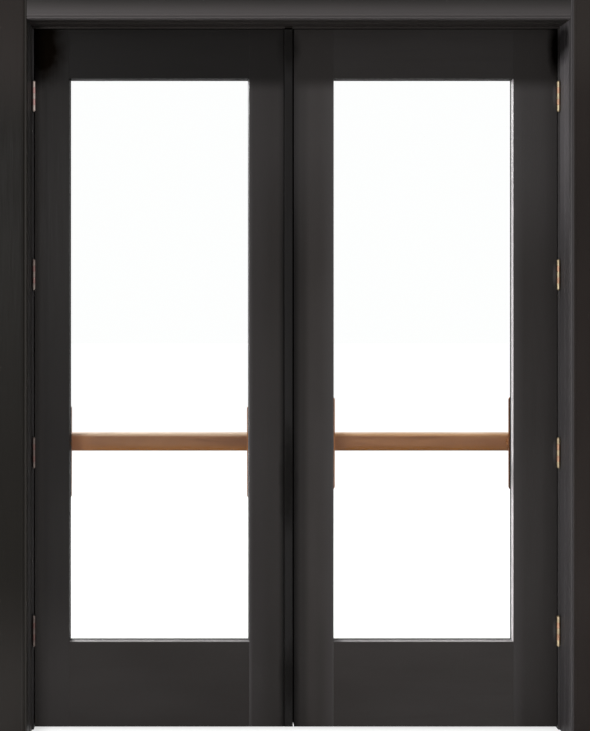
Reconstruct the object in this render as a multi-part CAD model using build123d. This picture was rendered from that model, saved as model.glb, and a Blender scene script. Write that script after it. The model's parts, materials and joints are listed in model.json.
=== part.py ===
from build123d import *
import os

# French doors: two glazed timber leaves hung in a deep three-sided frame with moulded casing.
# X runs to the viewer's right, Y runs away from the viewer, Z is up, and all sizes are millimetres.
# The origin is at floor level, midway between the jambs, in the plane of the casing's back.

# Leaves
leaf_height = 2438.4
leaf_thickness = 44.45
sight_width = 629.0
left_stile_width = 121.5
right_lock_stile_width = 138.5
right_hinge_stile_width = 153.5
top_rail_height = 172.0
bottom_rail_height = 296.5
leaf_gap = 3.0
floor_gap = 11.0
leaf_arris = 1.5
tenon_length = 70.0
tenon_thickness = 15.0
tenon_shoulder = 30.0

# Glazing
lip_depth = 16.0
lip_bevel = 3.0
rebate_width = 14.0
glass_thickness = 6.0
glass_clearance = 3.0
bead_land = 4.0
bead_splay = 5.0
setting_block_length = 80.0
setting_block_inset = 100.0

# Astragal and its two flush bolts
astragal_width = 32.0
astragal_front_radius = 4.5
astragal_back_radius = 2.0
bolt_radius = 5.0
bolt_length = 240.0
bolt_setback = 1.0
top_bolt_throw = 18.0
bottom_bolt_throw = 20.0
thumb_radius = 3.0
thumb_inset = 45.0
thumb_recess = 1.5
slot_clearance = 0.6
running_clearance = 0.05
strike_length = 60.0
strike_width = 26.0
strike_thickness = 2.5
strike_hole_clearance = 0.8
strike_bore_depth = 22.0

# Main jambs, rabbeted for the leaves
jamb_thickness = 31.75
jamb_depth = 116.0
rabbet_depth = 48.0
stop_height = 12.7
housing_depth = 6.0
seal_width = 9.0
seal_arris = 1.2
seal_clearance = 0.3

# Jamb extensions and casing
reveal_depth = 75.0
extension_thickness = 19.0
extension_setback = 6.0
extension_step = 1.5
extension_step_depth = 32.0
casing_setback = 0.5
casing_width = 103.0
casing_thickness = 22.0
casing_field_drop = 1.5
casing_bead_radius = 3.0
casing_bead_centre = 18.5
casing_quirk_width = 1.5
casing_quirk_level = 18.0
casing_ridge_start = 13.5
casing_ridge_width = 3.0
casing_ridge_slope = 2.0
casing_outer_radius = 6.0
casing_hollow_share = 0.72
casing_relief_depth = 1.5
casing_land_margin = 6.0
casing_outer_land = 16.0

# Butt hinges
hinge_count = 4
hinge_height = 101.6
hinge_top_inset = 185.0
hinge_bottom_inset = 286.0
barrel_radius = 6.35
pin_radius = 3.0
pin_offset = 7.0
hinge_plate_thickness = 2.5
hinge_plate_depth = 33.0
mortise_clearance = 0.25
knuckle_count = 5
knuckle_gap = 0.3
barrel_clearance = 0.4
pin_tip_height = 4.0
pin_tip_radius = 5.6
pin_tip_crown = 3.0

# Push bars on the back of the leaves
bar_centre_height = 993.0
bar_height = 64.0
bar_thickness = 38.0
bar_edge_radius = 9.0
bar_end_chamfer = 3.0
bar_overlap = 62.0
finger_gap = 45.0
plate_height = 328.0
plate_width = 40.0
plate_thickness = 4.0
left_plate_drop = 28.0
right_plate_drop = -3.0
left_plate_peek = 2.0
right_plate_peek = 8.0
plate_corner_chamfer = 5.0
post_foot_radius = 17.0
post_waist_radius = 8.5
post_flare_length = 12.0

# Sizes that follow from the ones above
left_leaf_width = sight_width + 2 * left_stile_width
right_leaf_width = right_lock_stile_width + sight_width + right_hinge_stile_width
opening_width = left_leaf_width + astragal_width + right_leaf_width + 3 * leaf_gap
jamb_face = opening_width / 2
leaf_bottom = floor_gap
leaf_top = leaf_bottom + leaf_height
head_underside = leaf_top + leaf_gap
frame_top = head_underside + jamb_thickness
leaf_front = reveal_depth
leaf_back = leaf_front + leaf_thickness
leaf_middle = (leaf_front + leaf_back) / 2
lip_back = leaf_front + lip_depth
glass_back = lip_back + glass_thickness
stop_front = reveal_depth + rabbet_depth
jamb_back = reveal_depth + jamb_depth
extension_face = jamb_face + extension_setback
casing_edge = extension_face + extension_step + casing_setback
casing_head_edge = head_underside + extension_setback + extension_step + casing_setback
casing_top = casing_head_edge + casing_width
casing_inner_land = extension_face + extension_thickness - casing_edge + casing_land_margin
left_leaf_edge = -jamb_face + leaf_gap
astragal_edge = left_leaf_edge + left_leaf_width
right_leaf_edge = jamb_face - leaf_gap - right_leaf_width
pin_y = leaf_front - pin_offset
pin_x = jamb_face - leaf_gap / 2
bore_radius = pin_radius + running_clearance
sight_bottom = leaf_bottom + bottom_rail_height
sight_top = leaf_top - top_rail_height
bar_front = leaf_back + finger_gap
bolt_x = astragal_edge + astragal_width / 2
first_hinge_height = leaf_bottom + hinge_bottom_inset + hinge_height / 2
last_hinge_height = leaf_top - hinge_top_inset - hinge_height / 2
hinge_pitch = (last_hinge_height - first_hinge_height) / (hinge_count - 1)
hinge_heights = [last_hinge_height - hinge_pitch * n for n in range(hinge_count)]


def block(x0, x1, y0, y1, z0, z1):
    """A box between two corners."""
    return Pos((x0 + x1) / 2, (y0 + y1) / 2, (z0 + z1) / 2) * Box(x1 - x0, y1 - y0, z1 - z0)


def prism_along_y(points, y0, y1):
    """An outline of X and Z points, carried from y0 to y1."""
    outline = Plane.XZ.offset(-y1) * Polygon(*points, align=None)
    return extrude(outline, y1 - y0, dir=(0, -1, 0))


def tapered_hole(near, y_near, far, y_far):
    """A rectangular hole (x0, x1, z0, z1) at y_near that becomes another one at y_far."""
    sections = []
    for (x0, x1, z0, z1), y in ((near, y_near), (far, y_far)):
        plane = Plane(((x0 + x1) / 2, y, (z0 + z1) / 2), x_dir=(1, 0, 0), z_dir=(0, 1, 0))
        sections.append(plane * Rectangle(x1 - x0, z1 - z0))
    return loft(sections)


def grown(hole, amount):
    """A rectangle (x0, x1, z0, z1) with each side moved outwards."""
    x0, x1, z0, z1 = hole
    return x0 - amount, x1 + amount, z0 - amount, z1 + amount


def rod_along_y(x, z, radius, y0, y1):
    """A round rod parallel to Y."""
    return Pos(x, (y0 + y1) / 2, z) * Rot(90, 0, 0) * Cylinder(radius, y1 - y0)


def rod_along_z(x, y, radius, z0, z1):
    """A round rod parallel to Z."""
    return Pos(x, y, (z0 + z1) / 2) * Cylinder(radius, z1 - z0)


class Casing:
    """Moulded casing: bead, quirk and ridge beside the opening, a flat field and a round outer arris."""

    field = casing_thickness - casing_field_drop
    bead_top = casing_bead_centre + casing_bead_radius
    quirk = 2 * casing_bead_radius + casing_quirk_width
    ridge_end = casing_ridge_start + casing_ridge_width
    rounding = casing_width - casing_outer_radius

    @classmethod
    def section(cls):
        """The moulding's outline: first from the opening's edge outwards, then out from the wall."""
        middle = (cls.quirk + casing_ridge_start) / 2
        swell = casing_quirk_level + casing_hollow_share * (casing_thickness - casing_quirk_level)
        edges = [
            Line((0, 0), (0, casing_bead_centre)),
            ThreePointArc(
                (0, casing_bead_centre),
                (casing_bead_radius, cls.bead_top),
                (2 * casing_bead_radius, casing_bead_centre),
            ),
            Line((2 * casing_bead_radius, casing_bead_centre), (cls.quirk, casing_quirk_level)),
            ThreePointArc(
                (cls.quirk, casing_quirk_level), (middle, swell), (casing_ridge_start, casing_thickness)
            ),
            Line((casing_ridge_start, casing_thickness), (cls.ridge_end, casing_thickness)),
            Line((cls.ridge_end, casing_thickness), (cls.ridge_end + casing_ridge_slope, cls.field)),
            Line((cls.ridge_end + casing_ridge_slope, cls.field), (cls.rounding, cls.field)),
            RadiusArc(
                (cls.rounding, cls.field),
                (casing_width, cls.field - casing_outer_radius),
                casing_outer_radius,
            ),
            Line((casing_width, cls.field - casing_outer_radius), (casing_width, 0)),
            Polyline((casing_width, 0), *cls.relief(), (0, 0)),
        ]
        return make_face(edges)

    @staticmethod
    def relief():
        """The shallow hollow in the back, which leaves a land at each edge."""
        far = casing_width - casing_outer_land
        near = casing_inner_land
        depth = casing_relief_depth
        return (far, 0), (far - depth, depth), (near + depth, depth), (near, 0)

    @classmethod
    def right_leg(cls):
        """A leg as tall as the whole frame."""
        plane = Plane((casing_edge, 0, casing_top), x_dir=(1, 0, 0), z_dir=(0, 0, -1))
        return extrude(plane * cls.section(), casing_top)

    @classmethod
    def head(cls):
        """The head, which butts against the two legs."""
        plane = Plane((-casing_edge, 0, casing_head_edge), x_dir=(0, 0, 1), z_dir=(1, 0, 0))
        return extrude(plane * cls.section(), 2 * casing_edge)


def side_jamb_blank():
    """The right jamb before its mortises: a thick board with the stop left standing."""
    outline = [
        (jamb_face, reveal_depth),
        (jamb_face + jamb_thickness, reveal_depth),
        (jamb_face + jamb_thickness, jamb_back),
        (jamb_face - stop_height, jamb_back),
        (jamb_face - stop_height, stop_front),
        (jamb_face, stop_front),
    ]
    return extrude(Polygon(*outline, align=None), frame_top)


def head_jamb_blank():
    """The head jamb, let into both side jambs."""
    outline = [
        (reveal_depth, head_underside),
        (stop_front, head_underside),
        (stop_front, head_underside - stop_height),
        (jamb_back, head_underside - stop_height),
        (jamb_back, frame_top),
        (reveal_depth, frame_top),
    ]
    reach = jamb_face + housing_depth
    return extrude(Plane.YZ.offset(-reach) * Polygon(*outline, align=None), 2 * reach)


def strike_plate():
    """The plate that takes the top bolt, flush in the head jamb."""
    return block(
        bolt_x - strike_width / 2,
        bolt_x + strike_width / 2,
        leaf_middle - strike_length / 2,
        leaf_middle + strike_length / 2,
        head_underside,
        head_underside + strike_thickness,
    )


def strike_hole(depth):
    """The hole that the top bolt is thrown into."""
    radius = bolt_radius + strike_hole_clearance
    return rod_along_z(bolt_x, leaf_middle, radius, head_underside, head_underside + depth)


def right_extension():
    """The right jamb extension, stepped back where it nears the casing."""
    outline = [
        (extension_face, reveal_depth),
        (extension_face, extension_step_depth),
        (extension_face + extension_step, extension_step_depth),
        (extension_face + extension_step, 0),
        (extension_face + extension_thickness, 0),
        (extension_face + extension_thickness, reveal_depth),
    ]
    return extrude(Polygon(*outline, align=None), head_underside + extension_setback)


def head_extension():
    """The head extension, resting on the two side extensions."""
    underside = head_underside + extension_setback
    outline = [
        (reveal_depth, underside),
        (reveal_depth, underside + extension_thickness),
        (0, underside + extension_thickness),
        (0, underside + extension_step),
        (extension_step_depth, underside + extension_step),
        (extension_step_depth, underside),
    ]
    reach = extension_face + extension_thickness
    board = extrude(Plane.YZ.offset(-reach) * Polygon(*outline, align=None), 2 * reach)
    for side in (-1, 1):
        near, far = sorted((side * (extension_face + extension_step), side * reach))
        seat = block(near, far, 0, extension_step_depth, underside, underside + extension_step)
        board += seat
    return board


def right_seal():
    """The seal against the right stop, which the leaf closes on."""
    strip = block(
        jamb_face - stop_height,
        jamb_face - stop_height + seal_width,
        leaf_back + seal_clearance,
        stop_front,
        0,
        head_underside - stop_height,
    )
    return chamfer(strip.edges().filter_by(Axis.Z).group_by(Axis.Y)[0], seal_arris)


def head_seal():
    """The seal against the head stop."""
    strip = block(
        -jamb_face,
        jamb_face,
        leaf_back + seal_clearance,
        stop_front,
        head_underside - stop_height,
        head_underside - stop_height + seal_width,
    )
    return chamfer(strip.edges().filter_by(Axis.X).group_by(Axis.Y)[0], seal_arris)


class Hinge:
    """A butt hinge with its pin on the Z axis, its jamb plate on +X and its leaf plate on -X."""

    @staticmethod
    def plate(side, play=0.0):
        """One flat square-cornered plate, or with play the mortise that takes it."""
        near, far = sorted((side * leaf_gap / 2, side * (leaf_gap / 2 + hinge_plate_thickness)))
        half = hinge_height / 2 + play
        return block(near, far, 0, pin_offset + hinge_plate_depth + play, -half, half)

    @classmethod
    def leaf(cls, side):
        """A plate with its share of the knuckles: the odd ones at the jamb, the even ones at the leaf."""
        pitch = hinge_height / knuckle_count
        own = [n for n in range(knuckle_count) if n % 2 == (0 if side > 0 else 1)]
        body = cls.plate(side)
        for n in range(knuckle_count):
            low = -hinge_height / 2 + n * pitch
            if n in own:
                start = low + (knuckle_gap / 2 if n else 0)
                end = low + pitch - (knuckle_gap / 2 if n < knuckle_count - 1 else 0)
                body += rod_along_z(0, 0, barrel_radius, start, end)
            else:
                start = low - knuckle_gap / 2
                end = low + pitch + knuckle_gap / 2
                reach = barrel_radius + barrel_clearance
                body -= block(-reach, reach, -reach, reach, start, end)
        return body - rod_along_z(0, 0, bore_radius, -hinge_height, hinge_height)

    @staticmethod
    def pin():
        """The pin with a crowned tip at each end."""
        half = hinge_height / 2
        tip = Cone(pin_tip_radius, pin_tip_crown, pin_tip_height)
        upper = Pos(0, 0, half + pin_tip_height / 2) * tip
        return rod_along_z(0, 0, pin_radius, -half, half) + upper + mirror(upper, Plane.XY)

    @staticmethod
    def placed(shape, side, z):
        """A shape of the hinge moved to one side of the doorway, where side is -1 at the left."""
        turned = shape if side > 0 else mirror(shape, Plane.YZ)
        return Pos(side * pin_x, pin_y, z) * turned


class Leaf:
    """One leaf: two stiles, two rails, the glass, its beads, and a push bar on the back."""

    def __init__(self, x0, left_stile, right_stile, hinge_side):
        self.x0 = x0
        self.x1 = x0 + left_stile + sight_width + right_stile
        self.hinge_side = hinge_side
        self.sight = (x0 + left_stile, self.x1 - right_stile, sight_bottom, sight_top)
        self.clear = grown(self.sight, -lip_bevel)
        self.rebate = grown(self.clear, rebate_width)

    def blank(self):
        """The slab with its bevelled lip and the rebate behind it."""
        slab = block(self.x0, self.x1, leaf_front, leaf_back, leaf_bottom, leaf_top)
        slab = chamfer(slab.edges().filter_by(Axis.Z), leaf_arris)
        slab -= tapered_hole(self.sight, leaf_front, self.clear, lip_back)
        x0, x1, z0, z1 = self.rebate
        return slab - block(x0, x1, lip_back, leaf_back, z0, z1)

    def region(self, name):
        """The part of the blank that one member takes, mitred where the lips meet."""
        x0, x1, z0, z1 = self.sight
        reach = 2 * lip_bevel
        outlines = {
            "left_stile": [
                (self.x0, leaf_bottom), (x0, leaf_bottom), (x0, z0), (x0 + reach, z0 + reach),
                (x0 + reach, z1 - reach), (x0, z1), (x0, leaf_top), (self.x0, leaf_top),
            ],
            "right_stile": [
                (self.x1, leaf_bottom), (x1, leaf_bottom), (x1, z0), (x1 - reach, z0 + reach),
                (x1 - reach, z1 - reach), (x1, z1), (x1, leaf_top), (self.x1, leaf_top),
            ],
            "bottom_rail": [
                (x0, leaf_bottom), (x1, leaf_bottom), (x1, z0), (x1 - reach, z0 + reach),
                (x0 + reach, z0 + reach), (x0, z0),
            ],
            "top_rail": [
                (x0, leaf_top), (x1, leaf_top), (x1, z1), (x1 - reach, z1 - reach),
                (x0 + reach, z1 - reach), (x0, z1),
            ],
        }
        return prism_along_y(outlines[name], leaf_front, leaf_back)

    def tenons(self, low, high):
        """The pair of tenons of a rail, centred in the leaf's thickness."""
        x0, x1, _, _ = self.sight
        near, far = leaf_middle - tenon_thickness / 2, leaf_middle + tenon_thickness / 2
        heights = low + tenon_shoulder, high - tenon_shoulder
        left = block(x0 - tenon_length, x0, near, far, *heights)
        return left, block(x1, x1 + tenon_length, near, far, *heights)

    def hinge_mortises(self):
        """The recesses for the hinge plates."""
        recess = Hinge.plate(-1, mortise_clearance)
        return [Hinge.placed(recess, self.hinge_side, z) for z in hinge_heights]

    def members(self):
        """The stiles and rails, tenoned together."""
        blank = self.blank()
        names = ("left_stile", "right_stile", "bottom_rail", "top_rail")
        made = {name: blank & self.region(name) for name in names}
        for name, low, high in (
            ("bottom_rail", leaf_bottom, self.rebate[2]),
            ("top_rail", self.rebate[3], leaf_top),
        ):
            left, right = self.tenons(low, high)
            made[name] += [left, right]
            made["left_stile"] -= left
            made["right_stile"] -= right
        hung = "left_stile" if self.hinge_side < 0 else "right_stile"
        met = "right_stile" if self.hinge_side < 0 else "left_stile"
        made[hung] -= self.hinge_mortises()
        return {
            "hinge_stile": made[hung],
            "lock_stile": made[met],
            "bottom_rail": made["bottom_rail"],
            "top_rail": made["top_rail"],
        }

    def glass(self):
        """The pane, standing on its setting blocks."""
        x0, x1, z0, z1 = grown(self.rebate, -glass_clearance)
        return block(x0, x1, lip_back, glass_back, z0, z1)

    def setting_blocks(self):
        """Two packers under the pane."""
        x0, x1, z0, _ = self.rebate
        blocks = []
        for start in (x0 + setting_block_inset, x1 - setting_block_inset - setting_block_length):
            end = start + setting_block_length
            blocks.append(block(start, end, lip_back, glass_back, z0, z0 + glass_clearance))
        return blocks

    def beads(self):
        """Four mitred beads that hold the pane from behind."""
        x0, x1, z0, z1 = self.rebate
        ring = block(x0, x1, glass_back, leaf_back, z0, z1)
        cx0, cx1, cz0, cz1 = self.clear
        ring -= block(cx0, cx1, glass_back, leaf_back, cz0, cz1)
        wide = grown(self.clear, bead_splay)
        ring -= tapered_hole(self.clear, glass_back + bead_land, wide, leaf_back)
        half = (x1 - x0) / 2
        left = [(x0, z0), (x0 + half, z0 + half), (x0 + half, z1 - half), (x0, z1)]
        right = [(x1, z0), (x1 - half, z0 + half), (x1 - half, z1 - half), (x1, z1)]
        bottom = [(x0, z0), (x1, z0), (x0 + half, z0 + half)]
        top = [(x0, z1), (x1, z1), (x0 + half, z1 - half)]
        return [
            ring & prism_along_y(outline, glass_back, leaf_back)
            for outline in (left, right, bottom, top)
        ]

    def plate_centres(self):
        """The X of each bracket's plate, left then right; the lock side's shows past the bead."""
        half = plate_width / 2
        if self.hinge_side < 0:
            return self.clear[0] - half, self.clear[1] + half - left_plate_peek
        return self.clear[0] - half + right_plate_peek, self.clear[1] + half

    def brackets(self):
        """The two brackets: a tall plate on the stile and a waisted post out to the bar."""
        made = []
        height = bar_centre_height - (left_plate_drop if self.hinge_side < 0 else right_plate_drop)
        for x in self.plate_centres():
            half = plate_width / 2
            plate = block(
                x - half,
                x + half,
                leaf_back,
                leaf_back + plate_thickness,
                height - plate_height / 2,
                height + plate_height / 2,
            )
            plate = chamfer(plate.edges().filter_by(Axis.Y), plate_corner_chamfer)
            post = self.post(bar_front - leaf_back - plate_thickness)
            made.append(
                plate + Pos(x, leaf_back + plate_thickness, bar_centre_height) * Rot(-90, 0, 0) * post
            )
        return made

    @staticmethod
    def post(length):
        """The waisted post, turned about Z from its foot at zero."""
        foot = Cone(post_foot_radius, post_waist_radius, post_flare_length)
        end = Pos(0, 0, post_flare_length / 2) * foot
        waist = rod_along_z(0, 0, post_waist_radius, post_flare_length, length - post_flare_length)
        return end + waist + Pos(0, 0, length) * mirror(end, Plane.XY)

    def push_bar(self):
        """The timber bar with rounded edges and eased ends."""
        x0, x1 = self.sight[0] - bar_overlap, self.sight[1] + bar_overlap
        half = bar_height / 2
        low, high = bar_centre_height - half, bar_centre_height + half
        bar = block(x0, x1, bar_front, bar_front + bar_thickness, low, high)
        bar = fillet(bar.edges().filter_by(Axis.X), bar_edge_radius)
        ends = bar.edges().group_by(Axis.X)
        return chamfer(ends[0] + ends[-1], bar_end_chamfer)


class Astragal:
    """The strip on the left leaf's meeting edge, which hides the two flush bolts."""

    @staticmethod
    def bolt(top):
        """A round bolt with its thumb peg, drawn back, pointing up or down."""
        if top:
            low, high = leaf_top - bolt_setback - bolt_length, leaf_top - bolt_setback
            thumb = low + thumb_inset
        else:
            low, high = leaf_bottom + bolt_setback, leaf_bottom + bolt_setback + bolt_length
            thumb = high - thumb_inset
        rod = rod_along_z(bolt_x, leaf_middle, bolt_radius, low, high)
        end = astragal_edge + astragal_width - thumb_recess
        peg = Pos((bolt_x + end) / 2, leaf_middle, thumb) * Rot(0, 90, 0)
        return rod + peg * Cylinder(thumb_radius, end - bolt_x)

    @staticmethod
    def space(top):
        """The bore and slot that the bolt slides in."""
        play = thumb_radius + slot_clearance
        radius = bolt_radius + running_clearance
        if top:
            low, high = leaf_top - bolt_setback - bolt_length - slot_clearance, leaf_top
            thumb = low + slot_clearance + thumb_inset
            slot = thumb - play, thumb + top_bolt_throw + play
        else:
            low, high = leaf_bottom, leaf_bottom + bolt_setback + bolt_length + slot_clearance
            thumb = high - slot_clearance - thumb_inset
            slot = thumb - bottom_bolt_throw - play, thumb + play
        bore = rod_along_z(bolt_x, leaf_middle, radius, low, high)
        face = astragal_edge + astragal_width
        return bore + block(bolt_x, face, leaf_middle - play, leaf_middle + play, *slot)

    @classmethod
    def strip(cls):
        """The strip itself, with a rounded face."""
        face = astragal_edge + astragal_width
        body = block(astragal_edge, face, leaf_front, leaf_back, leaf_bottom, leaf_top)
        upright = body.edges().filter_by(Axis.Z).group_by(Axis.Y)
        body = fillet(upright[0], astragal_front_radius)
        body = fillet(body.edges().filter_by(Axis.Z).group_by(Axis.Y)[-1], astragal_back_radius)
        return body - cls.space(True) - cls.space(False)


def left_of(shape):
    """The same shape on the other side of the doorway."""
    return mirror(shape, Plane.YZ)


def frame_nodes():
    """The pieces of the frame that do not move."""
    head_blank = head_jamb_blank()
    jamb = side_jamb_blank() - head_blank
    for z in hinge_heights:
        jamb -= Hinge.placed(Hinge.plate(1, mortise_clearance), 1, z)
    strike = strike_plate()
    return {
        "left_jamb": left_of(jamb),
        "right_jamb": jamb,
        "head_jamb": head_blank - strike - strike_hole(strike_bore_depth),
        "left_extension": left_of(right_extension()),
        "right_extension": right_extension(),
        "head_extension": head_extension(),
        "left_casing": left_of(Casing.right_leg()),
        "right_casing": Casing.right_leg(),
        "head_casing": Casing.head(),
        "left_seal": left_of(right_seal()),
        "right_seal": right_seal(),
        "head_seal": head_seal(),
        "top_bolt_strike": strike - strike_hole(strike_thickness),
    }


def hinge_nodes():
    """The hinges, numbered from the top, with the pins of each side in a group."""
    nodes = {}
    for side, name in ((-1, "left"), (1, "right")):
        for number, z in enumerate(hinge_heights, 1):
            nodes[f"{name}_hinge_{number}_jamb_plate"] = Hinge.placed(Hinge.leaf(1), side, z)
            nodes[f"{name}_hinge_{number}_leaf_plate"] = Hinge.placed(Hinge.leaf(-1), side, z)
        nodes[f"{name}_hinge_pins"] = [Hinge.placed(Hinge.pin(), side, z) for z in hinge_heights]
    return nodes


def leaf_nodes(name, leaf):
    """All the pieces that a leaf carries, apart from its hinges."""
    nodes = {f"{name}_leaf_{member}": shape for member, shape in leaf.members().items()}
    left_bracket, right_bracket = leaf.brackets()
    hinge_first = leaf.hinge_side < 0
    nodes[f"{name}_leaf_glass"] = leaf.glass()
    nodes[f"{name}_leaf_setting_blocks"] = leaf.setting_blocks()
    nodes[f"{name}_leaf_beads"] = leaf.beads()
    nodes[f"{name}_push_bar"] = leaf.push_bar()
    nodes[f"{name}_bar_bracket_hinge_side"] = left_bracket if hinge_first else right_bracket
    nodes[f"{name}_bar_bracket_lock_side"] = right_bracket if hinge_first else left_bracket
    return nodes


def all_nodes():
    """Every node of the object by name."""
    nodes = frame_nodes()
    nodes |= hinge_nodes()
    left_leaf = Leaf(left_leaf_edge, left_stile_width, left_stile_width, -1)
    right_leaf = Leaf(right_leaf_edge, right_lock_stile_width, right_hinge_stile_width, 1)
    nodes |= leaf_nodes("left", left_leaf)
    nodes |= leaf_nodes("right", right_leaf)
    nodes["astragal"] = Astragal.strip()
    nodes["top_bolt"] = Astragal.bolt(True)
    nodes["bottom_bolt"] = Astragal.bolt(False)
    return nodes


os.makedirs("parts", exist_ok=True)
for node, shape in all_nodes().items():
    if isinstance(shape, list):
        solids = [solid for piece in shape for solid in piece.solids()]
    else:
        solids = list(shape.solids())
    whole = solids[0] if len(solids) == 1 else Compound(children=solids)
    export_step(whole, f"parts/{node}.step")
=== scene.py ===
"""Looks of a pair of french doors: painted timber, clear panes, brass hinges and timber push bars."""

import json
import logging
import math
from dataclasses import dataclass
from enum import Enum

import bpy
from mathutils import Matrix, Vector


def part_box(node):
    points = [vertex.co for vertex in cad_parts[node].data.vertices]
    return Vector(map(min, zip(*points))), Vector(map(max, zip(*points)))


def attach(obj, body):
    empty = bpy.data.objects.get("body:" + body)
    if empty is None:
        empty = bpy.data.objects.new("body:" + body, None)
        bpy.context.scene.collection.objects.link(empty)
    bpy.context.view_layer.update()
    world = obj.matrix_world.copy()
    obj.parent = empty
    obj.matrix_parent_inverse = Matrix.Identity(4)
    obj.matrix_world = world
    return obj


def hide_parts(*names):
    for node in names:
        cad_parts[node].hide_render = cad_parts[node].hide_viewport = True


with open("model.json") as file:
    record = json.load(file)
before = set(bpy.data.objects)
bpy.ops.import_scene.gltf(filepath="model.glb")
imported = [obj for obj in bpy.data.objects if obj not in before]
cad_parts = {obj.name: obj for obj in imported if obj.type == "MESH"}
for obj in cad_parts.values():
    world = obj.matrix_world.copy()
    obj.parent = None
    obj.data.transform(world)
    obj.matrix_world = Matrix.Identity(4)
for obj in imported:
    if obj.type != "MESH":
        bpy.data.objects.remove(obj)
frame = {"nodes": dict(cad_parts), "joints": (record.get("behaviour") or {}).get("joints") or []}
log = logging.getLogger("french_doors")

Colour = tuple[float, float, float]
Place = tuple[float, float, float]
HINGE_NUMBERS = range(1, 5)
ALONG_AXIS = 0.9
SAME_PLACE = 0.00001
SAME_PLANE = math.radians(0.4)
ALONG_Z_TO_Y = Matrix.Rotation(-math.pi / 2, 4, "X")
ARRIS_ANGLE = 35.0
FLAT_WEIGHT = 80


class Slot(Enum):
    """The record's material slots."""

    PAINT = "dark_paint"
    BAR = "bar_timber"
    HINGE = "hinge_metal"
    BRACKET = "bracket_bronze"
    BOLT = "bolt_steel"
    SEAL = "seal_rubber"
    PANE = "pane_glass"


class Body(Enum):
    """The bodies that pieces ride on."""

    FRAME = "frame"
    LEFT_LEAF = "left_leaf"
    RIGHT_LEAF = "right_leaf"
    TOP_BOLT = "top_bolt"
    BOTTOM_BOLT = "bottom_bolt"


class Side(Enum):
    """The two sides of the doorway, as the viewer has them."""

    LEFT = "left"
    RIGHT = "right"

    @property
    def sign(self) -> int:
        """Minus one at the left and one at the right."""
        return -1 if self is Side.LEFT else 1

    @property
    def leaf(self) -> Body:
        """The leaf that hangs on this side."""
        return Body.LEFT_LEAF if self is Side.LEFT else Body.RIGHT_LEAF


class Axis(Enum):
    """The axes that a shade may run along, by their place in a vector."""

    X = 0
    Y = 1
    Z = 2


class Grain(Enum):
    """The way that a board's grain runs, as the turn that brings it upright."""

    UPRIGHT = (0.0, 0.0, 0.0)
    LEVEL = (0.0, math.pi / 2, 0.0)


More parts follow.
